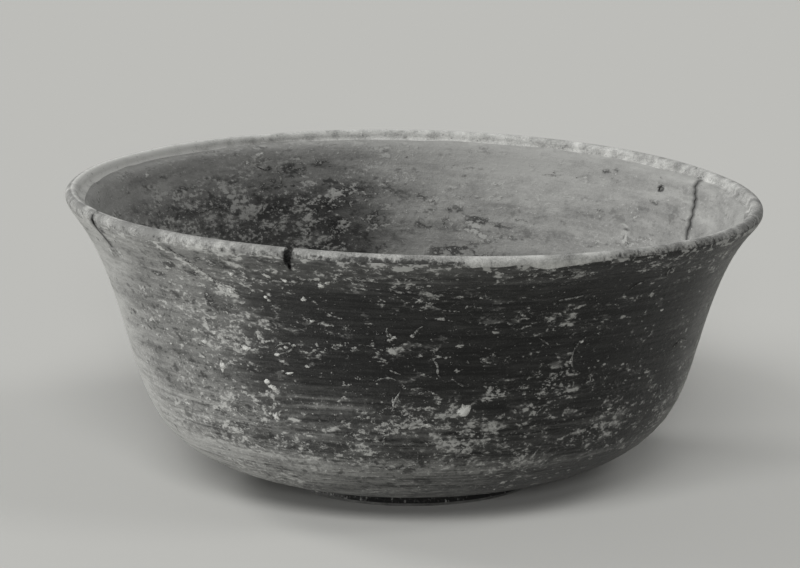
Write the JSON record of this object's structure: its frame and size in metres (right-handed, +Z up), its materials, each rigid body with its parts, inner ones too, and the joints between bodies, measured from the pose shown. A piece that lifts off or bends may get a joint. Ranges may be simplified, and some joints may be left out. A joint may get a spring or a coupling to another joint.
{
  "type": "slip-coated ceramic bowl",
  "caption": "Round flaring bowl with a rounded bare lip, a curved heel and a low luted foot ring, coated inside and out with a worn dark slip.",
  "frame": {"origin": "centre of the foot's resting face", "axes": "+Z up along the bowl's axis; the nick in the lip is at the front, -Y, 20 degrees towards -X"},
  "size_m": [0.15, 0.15, 0.0645],
  "materials": {
    "clay": "matte fired clay, bare where the slip has worn",
    "foot_clay": "matte fired clay, worn smooth where it rests",
    "luting_clay": "matte fired clay",
    "slip_outside": "worn satin slip with streaks and lime haze",
    "slip_inside": "worn satin slip with streaks and lime haze",
    "slip_base": "worn satin slip",
    "lime": "matte chalky lime"
  },
  "bodies": {
    "root": {"bowl_body": "clay", "foot_ring": "foot_clay", "luting_clay": "luting_clay", "outer_slip": "slip_outside", "inner_slip": "slip_inside", "base_slip": "slip_base", "lime_spots": "lime"}
  },
  "joints": []
}
